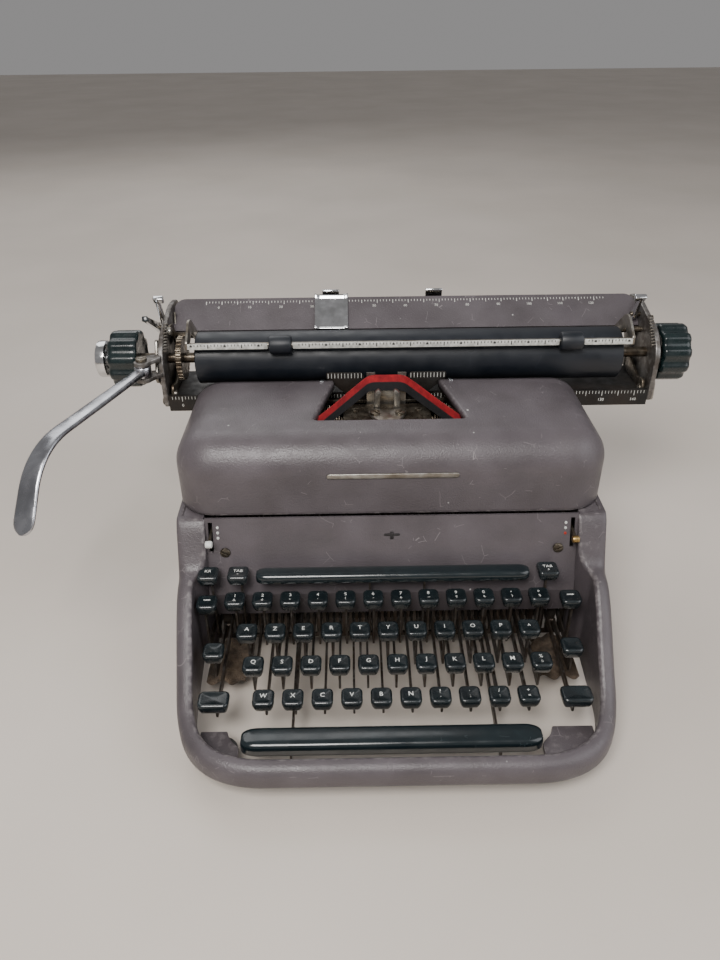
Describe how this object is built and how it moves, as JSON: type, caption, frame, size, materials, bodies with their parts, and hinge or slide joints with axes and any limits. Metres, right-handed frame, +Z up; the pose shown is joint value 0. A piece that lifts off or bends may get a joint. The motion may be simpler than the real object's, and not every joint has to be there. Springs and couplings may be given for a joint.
{
  "type": "typewriter",
  "caption": "Desk typewriter with a painted metal casing, sprung keys and a sliding carriage that holds a rubber platen, paper bail and return lever; it prints on paper.",
  "frame": {"origin": "on the desk, at the middle of the machine's overall width and depth with the carriage at rest", "axes": "+X to the typist's right, +Y to the back of the machine, +Z up"},
  "size_m": [0.4779, 0.349, 0.23],
  "materials": {
    "paint": "fine crinkle, satin",
    "key_plastic": "moulded, glossy",
    "knob_plastic": "moulded, glossy",
    "blued_steel": "blued",
    "bright_steel": "satin",
    "chrome": "polished",
    "cast_aluminium": "satin",
    "frame_iron": "black enamel",
    "platen_rubber": "hard rubber",
    "foot_rubber": "matte",
    "ribbon_cloth": "inked cotton",
    "brass": "satin"
  },
  "bodies": {
    "machine": {"lower_casing": "paint", "front_plate": "paint", "back_panel": "paint", "main_frame": "frame_iron", "rubber_feet": "foot_rubber", "key_comb": "bright_steel", "carriage_rail": "bright_steel", "type_guide": "bright_steel", "ribbon": "ribbon_cloth", "casing_screws": "blued_steel"},
    "type_basket": {"type_segment": "bright_steel", "typebars": "bright_steel"},
    "cover": {"top_cover": "paint"},
    "carriage": {"carriage_frame": "blued_steel", "left_end_plate": "blued_steel", "right_end_plate": "blued_steel", "paper_table": "paint"},
    "platen_roll": {"platen": "platen_rubber", "platen_shaft": "bright_steel", "knob_left": "knob_plastic", "knob_right": "knob_plastic"},
    "platen_button": {"knob_button": "chrome"},
    "bail": {"paper_bail": "chrome"},
    "bail_roll": {"bail_rollers": "platen_rubber"},
    "paper_guide": {"paper_guide": "chrome"},
    "margin_stop_left": {"margin_stop_left": "chrome"},
    "margin_stop_right": {"margin_stop_right": "chrome"},
    "return_lever": {"return_lever": "cast_aluminium"},
    "line_space_lever": {"line_space_lever": "blued_steel"},
    "platen_release_lever": {"platen_release_lever": "chrome"},
    "paper_release_lever": {"paper_release_lever": "chrome"},
    "number_row_keys": {"number_row_keys": "key_plastic"},
    "upper_row_keys": {"upper_row_keys": "key_plastic"},
    "lower_row_keys": {"lower_row_keys": "key_plastic"},
    "shift_keys": {"shift_keys": "key_plastic"},
    "shift_lock_keys": {"shift_lock_keys": "key_plastic"},
    "backspace_key": {"backspace_key": "key_plastic"},
    "margin_release_key": {"margin_release_key": "key_plastic"},
    "margin_set_key": {"margin_set_key": "key_plastic"},
    "tab_clear_key": {"tab_clear_key": "key_plastic"},
    "tab_set_key": {"tab_set_key": "key_plastic"},
    "tab_bar": {"tab_bar": "key_plastic"},
    "space_bar": {"space_bar": "key_plastic"},
    "ribbon_selector": {"ribbon_selector": "bright_steel"},
    "touch_lever": {"touch_lever": "brass"},
    "spool_left": {"spool_left": "blued_steel"},
    "spool_right": {"spool_right": "blued_steel"},
    "mainspring_drum": {"mainspring_drum": "bright_steel"},
    "ribbon_vibrator": {"ribbon_vibrator": "bright_steel"},
    "key_q": {"key_q": "key_plastic"},
    "key_s": {"key_s": "key_plastic"},
    "key_d": {"key_d": "key_plastic"},
    "key_f": {"key_f": "key_plastic"},
    "key_g": {"key_g": "key_plastic"},
    "key_h": {"key_h": "key_plastic"},
    "key_j": {"key_j": "key_plastic"},
    "key_k": {"key_k": "key_plastic"},
    "key_l": {"key_l": "key_plastic"},
    "key_m": {"key_m": "key_plastic"},
    "key_percent": {"key_percent": "key_plastic"}
  },
  "joints": [
    {"name": "key_q_press", "type": "hinge", "parent": "machine", "child": "key_q", "pos_m": [0.003, 0.0755, 0.045], "axis": [1, 0, 0], "range_deg": [0, 4], "stiffness_Nm_per_rad": 1.7, "springref_deg": -6.88},
    {"name": "key_s_press", "type": "hinge", "parent": "machine", "child": "key_s", "pos_m": [0.003, 0.0755, 0.045], "axis": [1, 0, 0], "range_deg": [0, 4], "stiffness_Nm_per_rad": 1.7, "springref_deg": -6.88},
    {"name": "key_d_press", "type": "hinge", "parent": "machine", "child": "key_d", "pos_m": [0.003, 0.0755, 0.045], "axis": [1, 0, 0], "range_deg": [0, 4], "stiffness_Nm_per_rad": 1.7, "springref_deg": -6.88},
    {"name": "key_f_press", "type": "hinge", "parent": "machine", "child": "key_f", "pos_m": [0.003, 0.0755, 0.045], "axis": [1, 0, 0], "range_deg": [0, 4], "stiffness_Nm_per_rad": 1.7, "springref_deg": -6.88},
    {"name": "key_g_press", "type": "hinge", "parent": "machine", "child": "key_g", "pos_m": [0.003, 0.0755, 0.045], "axis": [1, 0, 0], "range_deg": [0, 4], "stiffness_Nm_per_rad": 1.7, "springref_deg": -6.88},
    {"name": "key_h_press", "type": "hinge", "parent": "machine", "child": "key_h", "pos_m": [0.003, 0.0755, 0.045], "axis": [1, 0, 0], "range_deg": [0, 4], "stiffness_Nm_per_rad": 1.7, "springref_deg": -6.88},
    {"name": "key_j_press", "type": "hinge", "parent": "machine", "child": "key_j", "pos_m": [0.003, 0.0755, 0.045], "axis": [1, 0, 0], "range_deg": [0, 4], "stiffness_Nm_per_rad": 1.7, "springref_deg": -6.88},
    {"name": "key_k_press", "type": "hinge", "parent": "machine", "child": "key_k", "pos_m": [0.003, 0.0755, 0.045], "axis": [1, 0, 0], "range_deg": [0, 4], "stiffness_Nm_per_rad": 1.7, "springref_deg": -6.88},
    {"name": "key_l_press", "type": "hinge", "parent": "machine", "child": "key_l", "pos_m": [0.003, 0.0755, 0.045], "axis": [1, 0, 0], "range_deg": [0, 4], "stiffness_Nm_per_rad": 1.7, "springref_deg": -6.88},
    {"name": "key_m_press", "type": "hinge", "parent": "machine", "child": "key_m", "pos_m": [0.003, 0.0755, 0.045], "axis": [1, 0, 0], "range_deg": [0, 4], "stiffness_Nm_per_rad": 1.7, "springref_deg": -6.88},
    {"name": "key_percent_press", "type": "hinge", "parent": "machine", "child": "key_percent", "pos_m": [0.003, 0.0755, 0.045], "axis": [1, 0, 0], "range_deg": [0, 4], "stiffness_Nm_per_rad": 1.7, "springref_deg": -6.88},
    {"name": "number_row_press", "type": "hinge", "parent": "machine", "child": "number_row_keys", "pos_m": [0.003, 0.0755, 0.045], "axis": [1, 0, 0], "range_deg": [0, 4], "stiffness_Nm_per_rad": 20.4, "springref_deg": -6.88},
    {"name": "upper_row_press", "type": "hinge", "parent": "machine", "child": "upper_row_keys", "pos_m": [0.003, 0.0755, 0.045], "axis": [1, 0, 0], "range_deg": [0, 4], "stiffness_Nm_per_rad": 18.7, "springref_deg": -6.88},
    {"name": "lower_row_press", "type": "hinge", "parent": "machine", "child": "lower_row_keys", "pos_m": [0.003, 0.0755, 0.045], "axis": [1, 0, 0], "range_deg": [0, 3.6], "stiffness_Nm_per_rad": 17, "springref_deg": -6.88},
    {"name": "backspace_press", "type": "hinge", "parent": "machine", "child": "backspace_key", "pos_m": [0.003, 0.0755, 0.045], "axis": [1, 0, 0], "range_deg": [0, 4], "stiffness_Nm_per_rad": 1.7, "springref_deg": -6.88},
    {"name": "margin_release_press", "type": "hinge", "parent": "machine", "child": "margin_release_key", "pos_m": [0.003, 0.0755, 0.045], "axis": [1, 0, 0], "range_deg": [0, 4], "stiffness_Nm_per_rad": 1.7, "springref_deg": -6.88},
    {"name": "margin_set_press", "type": "hinge", "parent": "machine", "child": "margin_set_key", "pos_m": [0.003, 0.0755, 0.045], "axis": [1, 0, 0], "range_deg": [0, 2], "stiffness_Nm_per_rad": 2.5, "springref_deg": -5.73},
    {"name": "tab_clear_press", "type": "hinge", "parent": "machine", "child": "tab_clear_key", "pos_m": [0.003, 0.0755, 0.045], "axis": [1, 0, 0], "range_deg": [0, 2], "stiffness_Nm_per_rad": 2.5, "springref_deg": -5.73},
    {"name": "tab_set_press", "type": "hinge", "parent": "machine", "child": "tab_set_key", "pos_m": [0.003, 0.0755, 0.045], "axis": [1, 0, 0], "range_deg": [0, 2], "stiffness_Nm_per_rad": 2.5, "springref_deg": -5.73},
    {"name": "tab_bar_press", "type": "hinge", "parent": "machine", "child": "tab_bar", "pos_m": [0.003, 0.0755, 0.045], "axis": [1, 0, 0], "range_deg": [0, 2], "stiffness_Nm_per_rad": 5, "springref_deg": -5.73},
    {"name": "space_bar_press", "type": "hinge", "parent": "machine", "child": "space_bar", "pos_m": [0.003, 0.0755, 0.045], "axis": [1, 0, 0], "range_deg": [0, 2.3], "stiffness_Nm_per_rad": 4.5, "springref_deg": -5.73},
    {"name": "basket_shift", "type": "slide", "parent": "machine", "child": "type_basket", "axis": [0, 0, 1], "range_m": [-0.006, 0], "stiffness_N_per_m": 500, "springref_m": 0.012},
    {"name": "shift_press", "type": "hinge", "parent": "machine", "child": "shift_keys", "pos_m": [0.003, 0.0755, 0.045], "axis": [1, 0, 0], "range_deg": [0, 3.05]},
    {"name": "shift_lock_press", "type": "hinge", "parent": "shift_keys", "child": "shift_lock_keys", "pos_m": [0.003, -0.0495, 0.0355], "axis": [1, 0, 0], "range_deg": [0, 5], "stiffness_Nm_per_rad": 0.6, "springref_deg": -8.59},
    {"name": "cover_lift", "type": "hinge", "parent": "machine", "child": "cover", "pos_m": [0.003, -0.0309, 0.1237], "axis": [1, 0, 0], "range_deg": [0, 60]},
    {"name": "carriage_slide", "type": "slide", "parent": "machine", "child": "carriage", "axis": [-1, 0, 0], "range_m": [-0.12, 0.155]},
    {"name": "drum_spin", "type": "hinge", "parent": "machine", "child": "mainspring_drum", "pos_m": [-0.097, 0.1445, 0.108], "axis": [0, 0, 1], "range_deg": [-330, 400]},
    {"name": "platen_turn", "type": "hinge", "parent": "carriage", "child": "platen_roll", "pos_m": [0.0212, 0.0965, 0.184], "axis": [1, 0, 0], "continuous": true},
    {"name": "button_push", "type": "slide", "parent": "platen_roll", "child": "platen_button", "axis": [1, 0, 0], "range_m": [0, 0.003], "stiffness_N_per_m": 400, "springref_m": -0.004},
    {"name": "bail_lift", "type": "hinge", "parent": "carriage", "child": "bail", "pos_m": [0.0212, 0.114, 0.196], "axis": [-1, 0, 0], "range_deg": [0, 50]},
    {"name": "bail_rollers_spin", "type": "hinge", "parent": "bail", "child": "bail_roll", "pos_m": [0.0212, 0.0759, 0.2021], "axis": [1, 0, 0], "continuous": true},
    {"name": "paper_guide_slide", "type": "slide", "parent": "carriage", "child": "paper_guide", "axis": [1, 0, 0], "range_m": [-0.11, 0.21]},
    {"name": "left_stop_slide", "type": "slide", "parent": "carriage", "child": "margin_stop_left", "axis": [1, 0, 0], "range_m": [-0.105, 0.06]},
    {"name": "right_stop_slide", "type": "slide", "parent": "carriage", "child": "margin_stop_right", "axis": [1, 0, 0], "range_m": [-0.005, 0.15]},
    {"name": "return_lever_swing", "type": "hinge", "parent": "carriage", "child": "return_lever", "pos_m": [-0.1812, 0.0675, 0.186], "axis": [0, 0, 1], "range_deg": [0, 35], "stiffness_Nm_per_rad": 0.6, "springref_deg": -14.32},
    {"name": "line_space_set", "type": "hinge", "parent": "carriage", "child": "line_space_lever", "pos_m": [0.0212, 0.1215, 0.2], "axis": [1, 0, 0], "range_deg": [-6, 12]},
    {"name": "platen_release_pull", "type": "hinge", "parent": "carriage", "child": "platen_release_lever", "pos_m": [0.0212, 0.1215, 0.2], "axis": [1, 0, 0], "range_deg": [0, 20], "stiffness_Nm_per_rad": 0.05, "springref_deg": -17.19},
    {"name": "paper_release_pull", "type": "hinge", "parent": "carriage", "child": "paper_release_lever", "pos_m": [0.0212, 0.1215, 0.206], "axis": [1, 0, 0], "range_deg": [0, 25]},
    {"name": "ribbon_selector_set", "type": "hinge", "parent": "machine", "child": "ribbon_selector", "pos_m": [0.003, -0.0025, 0.108], "axis": [1, 0, 0], "range_deg": [-7, 9]},
    {"name": "touch_set", "type": "hinge", "parent": "machine", "child": "touch_lever", "pos_m": [0.003, -0.0025, 0.108], "axis": [1, 0, 0], "range_deg": [-7, 9]},
    {"name": "spool_left_spin", "type": "hinge", "parent": "machine", "child": "spool_left", "pos_m": [-0.087, 0.0255, 0.15], "axis": [0, 0, 1], "continuous": true},
    {"name": "spool_right_spin", "type": "hinge", "parent": "machine", "child": "spool_right", "pos_m": [0.093, 0.0255, 0.15], "axis": [0, 0, 1], "continuous": true},
    {"name": "ribbon_lift", "type": "slide", "parent": "machine", "child": "ribbon_vibrator", "axis": [0, 0, 1], "range_m": [0, 0.007], "stiffness_N_per_m": 40, "springref_m": -0.004, "deforming": ["ribbon"]}
  ],
  "couplings": [
    {"joint": "shift_press", "follows": "basket_shift", "rad_per_m": -8.7266},
    {"joint": "drum_spin", "follows": "carriage_slide", "rad_per_m": 40},
    {"joint": "spool_right_spin", "follows": "spool_left_spin", "ratio": 1}
  ]
}
